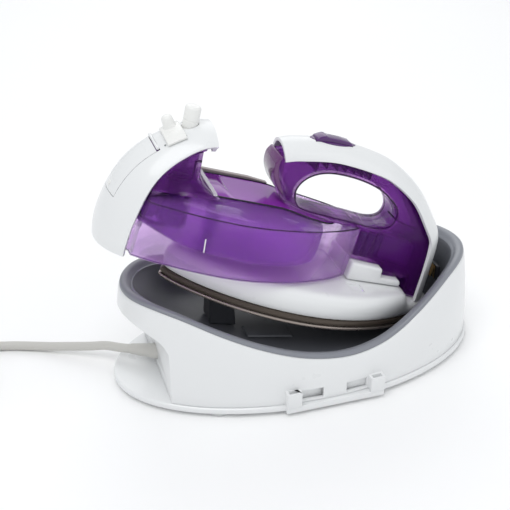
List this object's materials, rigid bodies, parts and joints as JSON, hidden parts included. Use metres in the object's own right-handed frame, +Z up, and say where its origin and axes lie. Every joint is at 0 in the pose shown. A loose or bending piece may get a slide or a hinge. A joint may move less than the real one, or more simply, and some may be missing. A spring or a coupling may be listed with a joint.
{
  "type": "cordless steam iron with charging stand",
  "caption": "Cordless steam iron with a see-through water tank and an arched handle, leaning in its oval charging stand, with a mains cord and plug.",
  "frame": {"origin": "on the surface the stand rests on, under the middle of the stand and iron, without the cord and plug", "axes": "+Z up, -X towards the nose of the iron and the cord, +X towards the heel, +Y to the left of the iron"},
  "size_m": [0.4873, 0.1652, 0.2175],
  "materials": {
    "white_plastic": "smooth glossy white moulding",
    "purple_plastic": "see-through purple moulding, polished",
    "magenta_plastic": "glossy dark magenta moulding",
    "slate_plastic": "satin slate grey moulding",
    "dark_plastic": "satin black moulding",
    "grey_rubber": "matt light grey rubber",
    "sole_coating": "smooth non-stick coating with a slight sheen",
    "casting": "dark brown coated casting",
    "steel": "bright steel",
    "contact_brass": "bright contact metal",
    "cord_sheath": "satin warm grey sheath"
  },
  "bodies": {
    "stand": {"base_plate": "white_plastic", "base_screw_1": "steel", "base_screw_2": "steel", "base_screw_3": "steel", "base_screw_4": "steel", "foot_1": "grey_rubber", "foot_2": "grey_rubber", "foot_3": "grey_rubber", "foot_4": "grey_rubber", "stand_housing": "white_plastic", "cradle_liner": "slate_plastic", "nose_rest": "grey_rubber", "heel_rest_left": "grey_rubber", "heel_rest_right": "grey_rubber", "contact_block": "dark_plastic", "contact_finger_left": "contact_brass", "contact_finger_middle": "contact_brass", "contact_finger_right": "contact_brass", "notice_plate": "slate_plastic", "cord_gland": "cord_sheath", "mains_cord": "cord_sheath", "cord_coil": "cord_sheath", "plug_body": "cord_sheath", "plug_pin_a": "contact_brass", "plug_pin_b": "contact_brass"},
    "iron": {"lower_skirt": "white_plastic", "heel_block": "white_plastic", "nose_shell": "white_plastic", "handle_cover": "white_plastic", "indicator_left": "white_plastic", "indicator_middle": "white_plastic", "indicator_right": "white_plastic", "tank_shell": "purple_plastic", "tank_tower": "purple_plastic", "tank_floor": "purple_plastic", "handle_core": "purple_plastic", "handle_front_cap": "magenta_plastic", "indicator_panel": "magenta_plastic", "feed_tube": "dark_plastic", "pump_body": "dark_plastic", "soleplate": "sole_coating", "heater_casting": "casting", "thermostat": "steel", "lid_hinge_pin": "steel", "pump_spring": "steel", "heel_contact_left": "contact_brass", "heel_contact_middle": "contact_brass", "heel_contact_right": "contact_brass"},
    "jet_button": {"jet_button": "white_plastic", "pump_piston": "steel"},
    "steam_lever": {"steam_lever": "white_plastic"},
    "steam_valve": {"steam_valve_rod": "steel"},
    "filler_lid": {"filler_lid": "white_plastic", "filler_stopper": "grey_rubber"},
    "temperature_button": {"temperature_button": "magenta_plastic"}
  },
  "joints": [
    {"name": "iron_lift", "type": "slide", "parent": "stand", "child": "iron", "axis": [0, 0, 1], "range_m": [0, 0.15]},
    {"name": "jet_press", "type": "slide", "parent": "iron", "child": "jet_button", "axis": [-0.2294, 0, -0.9733], "range_m": [0, 0.005], "stiffness_N_per_m": 250, "springref_m": -0.005, "deforming": ["pump_spring"]},
    {"name": "steam_lever_turn", "type": "hinge", "parent": "iron", "child": "steam_lever", "pos_m": [-0.07953, 0, 0.16879], "axis": [0.9576, 0, 0.2882], "range_deg": [0, 20]},
    {"name": "steam_valve_lift", "type": "slide", "parent": "iron", "child": "steam_valve", "axis": [0.3256, 0, 0.9455], "range_m": [0, 0.002]},
    {"name": "filler_lid_swing", "type": "hinge", "parent": "iron", "child": "filler_lid", "pos_m": [-0.10177, 0, 0.19434], "axis": [0, 1, 0], "range_deg": [0, 75]},
    {"name": "temperature_press", "type": "slide", "parent": "iron", "child": "temperature_button", "axis": [-0.3256, 0, -0.9455], "range_m": [0, 0.0015], "stiffness_N_per_m": 400, "springref_m": -0.002}
  ],
  "couplings": [
    {"joint": "steam_valve_lift", "follows": "steam_lever_turn", "m_per_rad": 0.0057}
  ]
}
